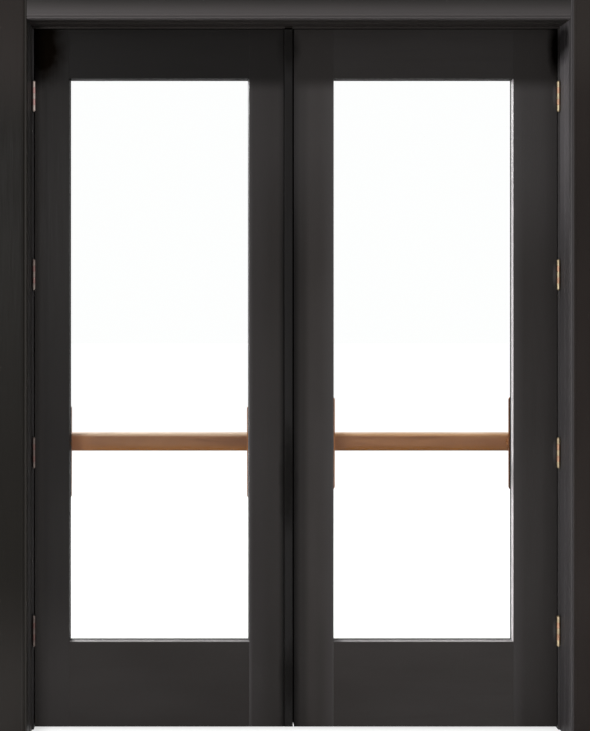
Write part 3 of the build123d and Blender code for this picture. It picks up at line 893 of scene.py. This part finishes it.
@dataclass(frozen=True)
class Surround:
    """The frame that stays still: jambs, extensions, casings, seals and the strike plate."""

    # Painted light: the head jamb and head extension drawn lighter than the paint.
    level: SatinPaint = SatinPaint(
        "frame_paint_level",
        Grain.LEVEL,
        colour=(0.0200, 0.0172, 0.0162),
        pale=(0.0290, 0.0255, 0.0240),
        grime_and_shade_amount=0.2,
    )
    # Painted light on the jambs' front, and a painted shadow of the head at the right jamb's top.
    rabbet: SatinPaint = SatinPaint(
        "rabbet_paint",
        Grain.UPRIGHT,
        grime_and_shade_amount=0.15,
        light_and_shade_patches=(LightAndShadePatch((0.917, 0.060, 2.390), (0.024, 0.060, 0.075)),),
        shades=(Shade(Axis.Y, 0.130, 0.112, (0.060, 0.056, 0.056), 0.95),),
    )
    # The left casing drawn darker, as painted shade, with painted light towards its foot, its top and its
    # bead.
    casing_left: SatinPaint = SatinPaint(
        "casing_paint_left",
        Grain.UPRIGHT,
        colour=(0.0066, 0.0056, 0.0046),
        pale=(0.0096, 0.0083, 0.0067),
        grime_and_shade_amount=0.15,
        wear=0.2,
        shades=(
            Shade(Axis.Z, 0.62, 0.15, (0.0215, 0.0190, 0.0172), 0.9),
            Shade(Axis.Z, 2.05, 2.35, (0.0185, 0.0150, 0.0135), 0.9),
            Shade(Axis.X, -0.9355, -0.9330, (0.0250, 0.0225, 0.0200), 0.9),
        ),
    )
    # The right casing drawn lighter, as painted light, with more towards its top and on its bead.
    casing_right: SatinPaint = SatinPaint(
        "casing_paint_right",
        Grain.UPRIGHT,
        colour=(0.0175, 0.0138, 0.0123),
        pale=(0.0240, 0.0192, 0.0172),
        grime_and_shade_amount=0.15,
        shades=(
            Shade(Axis.Z, 2.15, 2.40, (0.0290, 0.0245, 0.0220), 0.9),
            Shade(Axis.X, 0.9355, 0.9330, (0.072, 0.067, 0.068), 0.95),
        ),
    )
    # The head casing drawn lighter, with painted light growing towards its lower edge.
    casing_level: SatinPaint = SatinPaint(
        "casing_paint_level",
        Grain.LEVEL,
        colour=(0.0190, 0.0175, 0.0165),
        pale=(0.0255, 0.0240, 0.0225),
        shades=(Shade(Axis.Z, 2.535, 2.464, (0.080, 0.073, 0.073)),),
    )
    # The reveals drawn much lighter than the paint, as painted light.
    reveal_left: SatinPaint = SatinPaint(
        "reveal_paint_left",
        Grain.UPRIGHT,
        colour=(0.034, 0.031, 0.030),
        pale=(0.054, 0.050, 0.049),
        grime_and_shade_amount=0.15,
    )
    # The right reveal drawn lighter still, with more painted light towards its top and a painted shadow of
    # the head at its top.
    reveal_right: SatinPaint = SatinPaint(
        "reveal_paint_right",
        Grain.UPRIGHT,
        colour=(0.046, 0.042, 0.043),
        pale=(0.072, 0.067, 0.069),
        grime_and_shade_amount=0.15,
        light_and_shade_patches=(LightAndShadePatch((0.917, 0.060, 2.400), (0.040, 0.090, 0.065)),),
        shades=(Shade(Axis.Z, 1.55, 2.10, (0.150, 0.140, 0.145), 0.75),),
    )
    boards: Boards = Boards()
    casing_arris: float = 0.0012
    seal_arris: float = 0.0006
    strike_arris: float = 0.0003
    strike_screw_inset: float = 0.010
    strike_screw: ScrewHead = ScrewHead(radius=0.0036, rise=0.0005)
    # The strike plate's metal drawn nearly black, as painted shade under the head.
    shaded_strike_bronze: AgedMetal = AgedMetal(
        name="shaded_strike_bronze",
        bright=(0.022, 0.017, 0.013),
        tarnished=(0.009, 0.007, 0.006),
        dark=(0.003, 0.002, 0.002),
    )

    def build(self) -> None:
        """Dresses every board of the frame, its seals and its strike plate."""
        for board in ("jamb", "extension", "casing"):
            outer = board == "casing"
            arris = self.casing_arris if outer else None
            self.boards.make(f"head_{board}", self.casing_level if outer else self.level, Body.FRAME, arris)
            for side in Side:
                self.boards.make(f"{side.value}_{board}", self.upright(board, side), Body.FRAME, arris)
        for place in ("left", "right", "head"):
            node = f"{place}_seal"
            seal = copy_of_node(node, node + "_strip")
            ease(seal, self.seal_arris)
            hang(seal, SealRubber(), Body.FRAME, Slot.SEAL, node)
        self.strike()

    def upright(self, board: str, side: Side) -> SatinPaint:
        """The paint of an upright board.

        Args:
            board: The board, jamb, extension or casing.
            side: The side that it is on.

        Returns:
            The paint.
        """
        left = side is Side.LEFT
        return {
            "jamb": self.rabbet,
            "extension": self.reveal_left if left else self.reveal_right,
            "casing": self.casing_left if left else self.casing_right,
        }[board]

    def strike(self) -> None:
        """Dresses the strike plate and its two screws."""
        plate = copy_of_node("top_bolt_strike", "strike_plate")
        ease(plate, self.strike_arris, 1)
        hang(plate, self.shaded_strike_bronze, Body.FRAME, Slot.HINGE, "top_bolt_strike")
        low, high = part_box("top_bolt_strike")
        down = Matrix.Rotation(math.pi, 4, "X")
        middle = (low.x + high.x) / 2
        places = [
            Matrix.Translation((middle, y, low.z)) @ down
            for y in (low.y + self.strike_screw_inset, high.y - self.strike_screw_inset)
        ]
        screws = copies(self.strike_screw.make("strike_screw"), places, "strike_screws")
        hang(screws, self.shaded_strike_bronze, Body.FRAME, Slot.HINGE)


@dataclass(frozen=True)
class HingeSet:
    """The four butt hinges of one leaf, with the screws in their plates."""

    side: Side
    plate_arris: float = 0.0003
    tip_arris: float = 0.0012
    tip_strips: int = 3
    tip_angle: float = 30.0
    screw: ScrewHead = ScrewHead(radius=0.0042, rise=0.0006)
    screw_lifts: tuple[float, ...] = (-0.036, 0.0, 0.036)
    screw_insets: tuple[float, ...] = (0.021, 0.010, 0.021)
    spin_by_screw: float = 0.7
    spin_by_hinge: float = 0.4
    tarnish: tuple[float, ...] = (0.15, 0.35, 0.5, 0.6)
    bright_jamb: Colour = (0.42, 0.34, 0.22)
    bright_leaf: Colour = (0.42, 0.25, 0.165)
    tarnished_jamb: Colour = (0.15, 0.105, 0.065)
    tarnished_leaf: Colour = (0.15, 0.080, 0.048)
    dark: Colour = (0.020, 0.010, 0.006)
    smooth: float = 0.34
    rough: float = 0.58

    @property
    def light_and_shade_tones(self) -> tuple[Colour, ...]:
        """Painted light and shade: how bright each hinge is drawn in its three colours. The left ones are
        pinker, and darker lower down.
        """
        if self.side is Side.RIGHT:
            return tuple((tone, tone, tone) for tone in (1.0, 0.88, 1.12, 1.42))
        return tuple((tone, tone, 1.4 * tone) for tone in (1.33, 0.62, 0.42, 0.34))

    def metal(self, number: int, part: str = "jamb") -> AgedMetal:
        """The finish of one hinge, drawn lighter or darker as painted light, more tarnished further down,
        with redder knuckles on the leaf.

        Args:
            number: The hinge's number from the top, from one.
            part: The piece that the plate is on, jamb or leaf.

        Returns:
            The finish.
        """
        light_and_shade_tones = self.light_and_shade_tones[number - 1]
        on_jamb = part == "jamb"
        bright = self.bright_jamb if on_jamb else self.bright_leaf
        tarnished = self.tarnished_jamb if on_jamb else self.tarnished_leaf
        return AgedMetal(
            f"{self.side.value}_hinge_brass_{number}_{part}",
            tuple(tone * share for tone, share in zip(bright, light_and_shade_tones)),
            tuple(tone * share for tone, share in zip(tarnished, light_and_shade_tones)),
            self.dark,
            self.tarnish[number - 1],
            self.smooth,
            self.rough,
        )

    def build(self) -> None:
        """Dresses the plates, pins and screws of all four hinges."""
        for number in HINGE_NUMBERS:
            for part, body in (("jamb", Body.FRAME), ("leaf", self.side.leaf)):
                node = f"{self.side.value}_hinge_{number}_{part}_plate"
                plate = copy_of_node(node, node + "_metal")
                ease(plate, self.plate_arris, 1)
                hang(plate, self.metal(number, part), body, Slot.HINGE, node)
        self.pins()
        self.screws()

    def pins(self) -> None:
        """Dresses the four pins, with their tips rounded."""
        node = f"{self.side.value}_hinge_pins"
        pins = copy_of_node(node, node + "_metal")
        ease(pins, self.tip_arris, self.tip_strips, self.tip_angle)
        hang(pins, self.metal(2), Body.FRAME, Slot.HINGE, node)

    def screws(self) -> None:
        """Makes the screw heads in the jamb plates and in the leaf plates."""
        low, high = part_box(f"{self.side.value}_leaf_hinge_stile")
        leaf_face = high.x if self.side is Side.RIGHT else low.x
        pin_x = next(j["pos_m"][0] for j in frame["joints"] if j["child"] == self.side.leaf.value)
        faces = {
            "leaf": (leaf_face, self.side.sign, self.side.leaf),
            "jamb": (2 * pin_x - leaf_face, -self.side.sign, Body.FRAME),
        }
        for part, (x, facing, body) in faces.items():
            turn = Matrix.Rotation(facing * math.pi / 2, 4, "Y")
            places = []
            for number in HINGE_NUMBERS:
                low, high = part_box(f"{self.side.value}_hinge_{number}_{part}_plate")
                middle = (low.z + high.z) / 2
                for index, (lift, inset) in enumerate(zip(self.screw_lifts, self.screw_insets)):
                    spin = Matrix.Rotation(self.spin_by_screw * index + self.spin_by_hinge * number, 4, "Z")
                    places.append(Matrix.Translation((x, high.y - inset, middle + lift)) @ turn @ spin)
            name = f"{self.side.value}_{part}_hinge_screws"
            hang(copies(self.screw.make(name + "_head"), places, name), self.metal(2), body, Slot.HINGE)


@dataclass(frozen=True)
class PushBar:
    """The timber bar on the back of one leaf, with its two brackets."""

    side: Side
    # How bright the timber is drawn, as painted light.
    tone: float = 1.0
    # How much painted light each end gets.
    left_end: float = 0.9
    right_end: float = 0.0
    top_highlight: Colour = (0.42, 0.30, 0.21)
    rich: Colour = (0.138, 0.050, 0.008)
    light_left: Colour = (0.250, 0.107, 0.047)
    light_right: Colour = (0.220, 0.100, 0.045)
    bar_arris: float = 0.0015
    bar_strips: int = 3
    bar_angle: float = 25.0
    plate_thickness: float = 0.004
    plate_corner: float = 0.010
    corner_strips: int = 6
    plate_arris: float = 0.0012
    foot_radius: float = 0.017
    foot_steps: tuple[tuple[float, float], ...] = ((0.0, 0.0024), (0.0010, 0.0034), (0.0040, 0.0040))
    neck_step: tuple[float, float] = (0.0060, 0.0058)
    waist_radius: float = 0.0075
    waist_flare: float = 0.0035
    waist_strips: int = 7
    cup_radius: float = 0.0155
    cup_depth: float = 0.0080
    cup_steps: tuple[tuple[float, float], ...] = ((0.0035, 0.0060), (0.0010, 0.0045), (0.0, 0.0030))
    post_sides: int = 32
    post_angle: float = 40.0
    screw: ScrewHead = ScrewHead(radius=0.0050, rise=0.0024)
    screw_inset: float = 0.026
    screw_spins: tuple[float, float] = (0.5, 1.1)
    bronze: AgedMetal = AgedMetal(
        name="bracket_bronze",
        bright=(0.15, 0.050, 0.008),
        tarnished=(0.045, 0.012, 0.003),
        dark=(0.010, 0.002, 0.001),
        tarnish=0.7,
        smooth=0.30,
    )

    def build(self) -> None:
        """Makes the bar, the brackets and their screws."""
        node = f"{self.side.value}_push_bar"
        bar = copy_of_node(node, node + "_timber")
        ease(bar, self.bar_arris, self.bar_strips, self.bar_angle)
        hang(bar, self.timber(), self.side.leaf, Slot.BAR, node)
        for place in ("hinge_side", "lock_side"):
            self.bracket(f"{self.side.value}_bar_bracket_{place}")

    def timber(self) -> OiledTimber:
        """The bar's timber, with a painted highlight along its top, more orange along its foot, and painted
        light towards its ends, where the stiles shade it.
        """
        low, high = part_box(f"{self.side.value}_push_bar")
        return OiledTimber(
            f"{self.side.value}_bar_timber",
            self.tone,
            (
                Shade(Axis.Z, low.z + 0.0240, low.z + 0.0100, self.rich, 0.9),
                Shade(Axis.X, low.x + 0.155, low.x + 0.060, self.light_left, self.left_end),
                Shade(Axis.X, high.x - 0.135, high.x - 0.045, self.light_right, self.right_end),
                Shade(Axis.Z, high.z - 0.0150, high.z - 0.0010, self.top_highlight, 1.0),
            ),
        )

    def bracket(self, node: str) -> None:
        """Makes one bracket: a round-cornered plate, a turned post and two screws.

        Args:
            node: The bracket's node.
        """
        low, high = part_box(node)
        bar_low, bar_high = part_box(f"{self.side.value}_push_bar")
        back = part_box(f"{self.side.value}_leaf_top_rail")[1].y
        face = back + self.plate_thickness
        middle = (low.x + high.x) / 2
        bpy.ops.object.select_all(action="DESELECT")
        bpy.ops.mesh.primitive_cube_add(size=1.0, location=(middle, (back + face) / 2, (low.z + high.z) / 2))
        plate = bpy.context.object
        plate.name = node + "_plate"
        plate.scale = (high.x - low.x, self.plate_thickness, high.z - low.z)
        bpy.ops.object.transform_apply(location=True, rotation=True, scale=True)
        self.round_corners(plate)
        ease(plate, self.plate_arris)
        post = self.post(node + "_post", high.y - face)
        post.data.transform(Matrix.Translation((middle, face, (bar_low.z + bar_high.z) / 2)) @ ALONG_Z_TO_Y)
        take(plate, post)
        bpy.ops.object.join()
        plate.name = node + "_bronze"
        hang(plate, self.bronze, self.side.leaf, Slot.BRACKET, node)
        places = [
            Matrix.Translation((middle, face, z)) @ ALONG_Z_TO_Y @ Matrix.Rotation(spin, 4, "Z")
            for z, spin in zip((low.z + self.screw_inset, high.z - self.screw_inset), self.screw_spins)
        ]
        screws = copies(self.screw.make(node + "_head"), places, node + "_screws")
        hang(screws, self.bronze, self.side.leaf, Slot.BRACKET)

    def round_corners(self, plate: bpy.types.Object) -> None:
        """Rounds the four corners of a plate that faces along Y.

        Args:
            plate: The plate.
        """
        take(plate)
        bpy.ops.object.mode_set(mode="EDIT")
        bpy.ops.mesh.select_all(action="DESELECT")
        bpy.ops.object.mode_set(mode="OBJECT")
        for edge in plate.data.edges:
            a, b = (plate.data.vertices[i].co for i in edge.vertices)
            edge.select = abs((a - b).normalized().y) > ALONG_AXIS
        bpy.ops.object.mode_set(mode="EDIT")
        bpy.ops.mesh.select_mode(type="EDGE")
        bpy.ops.mesh.bevel(offset=self.plate_corner, segments=self.corner_strips, affect="EDGES")
        bpy.ops.object.mode_set(mode="OBJECT")

    def post(self, name: str, length: float) -> bpy.types.Object:
        """The turned post that stands out to the bar.

        Args:
            name: The piece's name.
            length: How far it stands out.

        Returns:
            The post, on the Z axis with its foot at zero.
        """
        rings = [(self.foot_radius, 0.0)]
        rings += [(self.foot_radius - inward, rise) for inward, rise in (*self.foot_steps, self.neck_step)]
        neck = self.neck_step[1]
        for step in range(1, self.waist_strips):
            share = step / self.waist_strips
            radius = self.waist_radius + self.waist_flare * (2 * share - 1) ** 2
            rings.append((radius, neck + share * (length - neck - self.cup_depth)))
        rings += [(self.cup_radius - inward, length - drop) for inward, drop in self.cup_steps]
        rings.append((self.cup_radius, length))
        post = turned(name, rings, self.post_sides)
        take(post)
        bpy.ops.object.shade_smooth_by_angle(angle=math.radians(self.post_angle))
        return post


@dataclass(frozen=True)
class GlazedLeaf:
    """One leaf: stiles, rails, beads, setting blocks and the pane."""

    side: Side
    boards: Boards = Boards()
    colour: Colour = (0.0140, 0.0124, 0.0117)
    pale: Colour = (0.0206, 0.0187, 0.0180)
    # Colours of painted shadow and painted highlight.
    shadow: Colour = (0.0012, 0.0010, 0.0009)
    glow: Colour = (0.075, 0.070, 0.071)
    # Patches of painted shade: deep in the two upper corners, and along the gap at the astragal.
    light_and_shade_patches: tuple[LightAndShadePatch, ...] = (
        LightAndShadePatch((-0.883, 0.080, 2.385), (0.078, 0.080, 0.135), 1.0, (0.0012, 0.0008, 0.0005), True),
        LightAndShadePatch((0.915, 0.080, 2.390), (0.030, 0.060, 0.095), 1.0, (0.0012, 0.0008, 0.0005), True),
        LightAndShadePatch((-0.026, 0.080, 2.380), (0.034, 0.060, 0.085), 0.9),
        LightAndShadePatch((-0.026, 0.080, 0.870), (0.028, 0.060, 0.170), 0.9),
        LightAndShadePatch((-0.026, 0.080, 0.190), (0.028, 0.060, 0.110), 0.9),
    )
    edge: SatinPaint = SatinPaint("matt_edge_paint", Grain.UPRIGHT, sheen=0.0, wear=0.0)
    # Colours of the painted highlight on the lip round the pane.
    lip_highlight: Colour = (0.090, 0.085, 0.087)
    lip_highlight_pale: Colour = (0.150, 0.142, 0.144)
    lip_rubbed: Colour = (0.30, 0.28, 0.28)
    # Colour of painted light.
    lit_colour: Colour = (0.060, 0.056, 0.056)
    head_tone: float = 1.1
    head_shade_foot: float = 2.225
    head_shade_top: float = 2.285
    hinge_highlight_reach: Place = (0.006, 0.060, 0.034)
    hinge_highlight_inset: float = 0.010
    hinge_highlight_strength: float = 0.55
    board_arris: float = 0.0007
    bead_arris: float = 0.0006
    pane_arris: float = 0.0005

    @property
    def light_and_shade_tones(self) -> dict[str, float]:
        """How light the paint of each board is drawn, as painted light and shade."""
        left = self.side is Side.LEFT
        return {
            "hinge_stile": 0.84 if left else 1.62,
            "lock_stile": 1.42 if left else 2.00,
            "top_rail": 0.44 if left else 0.97,
            "bottom_rail": 1.62 if left else 2.00,
            "beads": 1.2,
        }

    @property
    def lip_highlight_tones(self) -> dict[str, float]:
        """How bright the painted highlight on the lip round the pane is, at its side and at its foot."""
        return {"side": 0.62, "foot": 1.6} if self.side is Side.LEFT else {"side": 2.7, "foot": 2.0}

    @property
    def shades(self) -> dict[str, tuple[Shade, ...]]:
        """Painted shade and painted light on each stile: where its paint is drawn darker or paler."""
        low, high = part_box(f"{self.side.value}_leaf_lock_stile")
        near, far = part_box(f"{self.side.value}_leaf_hinge_stile")
        tone = self.light_and_shade_tones["top_rail"]
        # Painted shade under the head.
        dusky = tuple(self.head_tone * tone * part for part in self.colour)
        under_head = Shade(Axis.Z, self.head_shade_foot, self.head_shade_top, dusky, 0.95)
        if self.side is Side.LEFT:
            return {
                "hinge_stile": (
                    Shade(Axis.Z, 0.55, 0.15, (0.032, 0.029, 0.028), 0.8),
                    Shade(Axis.X, near.x + 0.045, near.x + 0.004, (0.042, 0.038, 0.036), 0.80),
                    under_head,
                ),
                "lock_stile": (
                    Shade(Axis.X, high.x - 0.022, high.x + 0.002, self.shadow, 0.85),
                    Shade(Axis.X, low.x + 0.090, low.x + 0.015, (0.034, 0.031, 0.031), 0.40),
                    Shade(Axis.X, low.x + 0.018, low.x, self.glow, 0.55),
                    Shade(Axis.Z, 1.60, 2.15, (0.036, 0.033, 0.033), 0.40),
                    under_head,
                ),
            }
        return {
            "hinge_stile": (
                Shade(Axis.Z, 1.50, 2.00, self.lit_colour, 0.50),
                Shade(Axis.X, near.x + 0.050, near.x, self.glow, 0.30),
                Shade(Axis.X, far.x - 0.060, far.x - 0.004, self.pale, 0.35),
                under_head,
            ),
            "lock_stile": (
                Shade(Axis.X, low.x + 0.060, low.x + 0.030, self.shadow, 0.40),
                Shade(Axis.X, low.x + 0.026, low.x, self.shadow, 0.85),
                Shade(Axis.Z, 1.60, 2.10, self.lit_colour, 0.30),
                Shade(Axis.X, high.x - 0.050, high.x - 0.006, self.lit_colour, 0.35),
                Shade(Axis.X, high.x - 0.012, high.x, self.glow, 0.55),
                under_head,
            ),
        }

    def coat(self, board: str) -> SatinPaint:
        """The paint of one board of the leaf, drawn lighter or darker with painted light and shade.

        Args:
            board: The board's name within the leaf.

        Returns:
            The paint.
        """
        tone = self.light_and_shade_tones[board]
        return SatinPaint(
            f"{self.side.value}_leaf_paint_{board}",
            Grain.LEVEL if board.endswith("rail") else Grain.UPRIGHT,
            tuple(tone * part for part in self.colour),
            tuple(tone * part for part in self.pale),
            wear=0.2,
            light_and_shade_patches=self.light_and_shade_patches + self.hinge_highlights,
            shades=self.shades.get(board, ()),
        )

    @property
    def hinge_highlights(self) -> tuple[LightAndShadePatch, ...]:
        """Painted highlights on the right leaf, beside each of its hinges."""
        if self.side is Side.LEFT:
            return ()
        near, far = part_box("right_leaf_hinge_stile")
        marks = []
        for number in HINGE_NUMBERS:
            low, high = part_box(f"right_hinge_{number}_leaf_plate")
            middle = (far.x - self.hinge_highlight_inset, near.y, (low.z + high.z) / 2)
            marks.append(LightAndShadePatch(middle, self.hinge_highlight_reach, self.hinge_highlight_strength, self.glow))
        return tuple(marks)

    def lit_lip(self, part: str) -> SatinPaint:
        """The paint of the lip round the pane, drawn as a painted highlight.

        Args:
            part: Which faces it is for, side or foot.

        Returns:
            The paint.
        """
        tone = self.lip_highlight_tones[part]
        return SatinPaint(
            f"{self.side.value}_faded_{part}",
            Grain.UPRIGHT,
            tuple(tone * value for value in self.lip_highlight),
            tuple(tone * value for value in self.lip_highlight_pale),
            rubbed=self.lip_rubbed,
        )

    def build(self) -> None:
        """Dresses the leaf's boards, beads, blocks and pane."""
        leaf = f"{self.side.value}_leaf"
        for board in ("hinge_stile", "lock_stile", "top_rail", "bottom_rail"):
            coat = self.coat(board)
            self.lay_lip_highlights_and_matt_edge(self.boards.make(f"{leaf}_{board}", coat, self.side.leaf, self.board_arris))
        self.boards.make(f"{leaf}_beads", self.coat("beads"), self.side.leaf, self.bead_arris)
        blocks = frame["nodes"][f"{leaf}_setting_blocks"]
        blocks.data.materials.clear()
        blocks.data.materials.append(SealRubber().material())
        pane = copy_of_node(f"{leaf}_glass", f"{leaf}_pane")
        ease(pane, self.pane_arris)
        hang(pane, ClearPane(), self.side.leaf, Slot.PANE, f"{leaf}_glass")

    def lay_lip_highlights_and_matt_edge(self, board: bpy.types.Object) -> None:
        """Paints a highlight on the lip round the pane where it faces left or up, and dulls the leaf's left
        edge.

        Args:
            board: The stile or rail.
        """
        low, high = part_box(f"{self.side.value}_leaf_glass")
        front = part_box(f"{self.side.value}_leaf_top_rail")[0].y
        finishes = (self.lit_lip("side"), self.lit_lip("foot"), self.edge)
        lip_side, lip_foot, edge = range(len(board.data.materials), len(board.data.materials) + len(finishes))
        for finish in finishes:
            board.data.materials.append(finish.material())
        for face in board.data.polygons:
            x, y, z = face.center
            if face.normal.x < -ALONG_AXIS and x < low.x:
                face.material_index = edge
            if not (low.x < x < high.x and front < y < low.y and low.z < z < high.z):
                continue
            if face.normal.x < -ALONG_AXIS:
                face.material_index = lip_side
            if face.normal.z > ALONG_AXIS:
                face.material_index = lip_foot


@dataclass(frozen=True)
class MeetingStile:
    """The astragal on the left leaf with the two flush bolts inside it."""

    # The astragal drawn darker than the leaves, as painted shade, with painted shadow along both flanks.
    paint: SatinPaint = SatinPaint(
        "astragal_paint",
        Grain.UPRIGHT,
        colour=(0.0100, 0.0092, 0.0090),
        pale=(0.0150, 0.0140, 0.0138),
        wear=0.1,
        light_and_shade_patches=GlazedLeaf.light_and_shade_patches,
        shades=(
            Shade(Axis.X, -0.0370, -0.0410, GlazedLeaf.shadow, 0.9),
            Shade(Axis.X, -0.0150, -0.0110, GlazedLeaf.shadow, 0.9),
        ),
    )
    arris: float = 0.0006
    steel: AgedMetal = AgedMetal(
        name="bolt_steel",
        bright=(0.56, 0.55, 0.53),
        tarnished=(0.30, 0.28, 0.26),
        dark=(0.05, 0.045, 0.04),
        tarnish=0.5,
    )

    def build(self) -> None:
        """Dresses the astragal and the bolts."""
        Boards().make("astragal", self.paint, Body.LEFT_LEAF, self.arris)
        for body in (Body.TOP_BOLT, Body.BOTTOM_BOLT):
            bolt = copy_of_node(body.value, body.value + "_rod")
            ease(bolt, self.arris)
            hang(bolt, self.steel, body, Slot.BOLT, body.value)


@dataclass(frozen=True)
class Lamp:
    """A soft square lamp that the camera doesn't see."""

    name: str
    place: Place
    aim: Place
    width: float
    watts: float

    def light(self) -> None:
        """Hangs the lamp and turns it to its aim."""
        data = bpy.data.lights.new(self.name, "AREA")
        data.shape = "SQUARE"
        data.size = self.width
        data.energy = self.watts
        lamp = bpy.data.objects.new(self.name, data)
        bpy.context.scene.collection.objects.link(lamp)
        lamp.location = self.place
        aim = Vector(self.aim) - Vector(self.place)
        lamp.rotation_euler = aim.to_track_quat("-Z", "Y").to_euler()
        lamp.visible_camera = False
        lamp.visible_transmission = False


@dataclass(frozen=True)
class Studio:
    """A pale floor, a white background, soft lamps and the camera of the photograph."""

    eye: Place = (-0.352, -3.305, 1.503)
    lens: float = 47.6
    shift: tuple[float, float] = (0.1364, -0.0896)
    floor_width: float = 60.0
    floor_level: float = -0.0004
    floor_colour: Colour = (0.80, 0.80, 0.80)
    floor_roughness: float = 0.9
    floor_lift: float = 0.63
    white: Colour = (1.0, 1.0, 1.0)
    ambient: float = 0.50
    lamps: tuple[Lamp, ...] = (
        Lamp("key_lamp", (-2.8, -4.5, 2.2), (0.2, 0.05, 1.2), 1.8, 160.0),
        Lamp("sky_lamp", (-2.2, 3.0, 3.8), (0.0, 0.1, 1.2), 1.6, 260.0),
    )

    def seen(self, tree: Tree) -> bpy.types.NodeSocket:
        """Whether a ray comes from the camera, from gloss or through glass.

        Args:
            tree: The tree to add to.

        Returns:
            One where it does, and zero where it doesn't.
        """
        path = tree.add("LightPath").outputs
        shiny = tree.clamped("MAXIMUM", path["Is Glossy Ray"], path["Is Transmission Ray"])
        return tree.clamped("MAXIMUM", path["Is Camera Ray"], shiny)

    def build(self) -> None:
        """Lays the floor, lights the scene and sets the camera."""
        self.lay_floor()
        self.fill_world()
        for lamp in self.lamps:
            lamp.light()
        self.set_camera()
        bpy.context.scene.view_settings.view_transform = "Standard"

    def lay_floor(self) -> None:
        """Lays the pale floor, which keeps the shadow and fades into the white."""
        bpy.ops.object.select_all(action="DESELECT")
        bpy.ops.mesh.primitive_plane_add(size=self.floor_width, location=(0.0, 0.0, self.floor_level))
        floor = bpy.context.object
        floor.name = "floor"
        bpy.ops.object.transform_apply(location=True)
        material = bpy.data.materials.new("pale_floor")
        material.use_nodes = True
        material.node_tree.nodes.clear()
        tree = Tree(material.node_tree)
        lift = tree.fill("Math", "MULTIPLY", self.seen(tree), self.floor_lift)
        shader = tree.add("BsdfPrincipled", Base_Color=self.floor_colour, Roughness=self.floor_roughness)
        tree.give(shader, Emission_Color=self.white, Emission_Strength=lift.outputs[0])
        tree.give(shader, Specular_IOR_Level=0.0)
        tree.add("OutputMaterial", Surface=shader.outputs[0])
        floor.data.materials.append(material)

    def fill_world(self) -> None:
        """Gives an even light, and white to whoever looks at the background."""
        world = bpy.data.worlds.new("studio")
        bpy.context.scene.world = world
        world.use_nodes = True
        world.node_tree.nodes.clear()
        tree = Tree(world.node_tree)
        light = tree.add("Background", Color=self.white, Strength=self.ambient)
        white = tree.add("Background", Color=self.white, Strength=1.0)
        blend = tree.fill("MixShader", None, self.seen(tree), light.outputs[0], white.outputs[0])
        tree.add("OutputWorld", Surface=blend.outputs[0])

    def set_camera(self) -> None:
        """Sets the camera level, square to the doors and left of their middle."""
        data = bpy.data.cameras.new("photo_camera")
        data.lens = self.lens
        data.shift_x, data.shift_y = self.shift
        camera = bpy.data.objects.new("photo_camera", data)
        bpy.context.scene.collection.objects.link(camera)
        camera.location = self.eye
        camera.rotation_euler = (math.pi / 2, 0.0, 0.0)
        bpy.context.scene.camera = camera


def main() -> None:
    """Builds the doors' looks piece by piece, then the studio round them."""
    logging.basicConfig(level=logging.INFO, format="%(message)s")
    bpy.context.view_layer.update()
    Surround().build()
    leaves = {side: GlazedLeaf(side) for side in Side}
    for side, leaf in leaves.items():
        leaf.build()
        HingeSet(side).build()
    PushBar(Side.LEFT).build()
    # The right bar is drawn brighter than the left, as painted light.
    PushBar(Side.RIGHT, tone=1.22, left_end=0.55, right_end=0.45, top_highlight=(0.42, 0.25, 0.135)).build()
    MeetingStile().build()
    Studio().build()


if __name__ == "__main__":
    main()
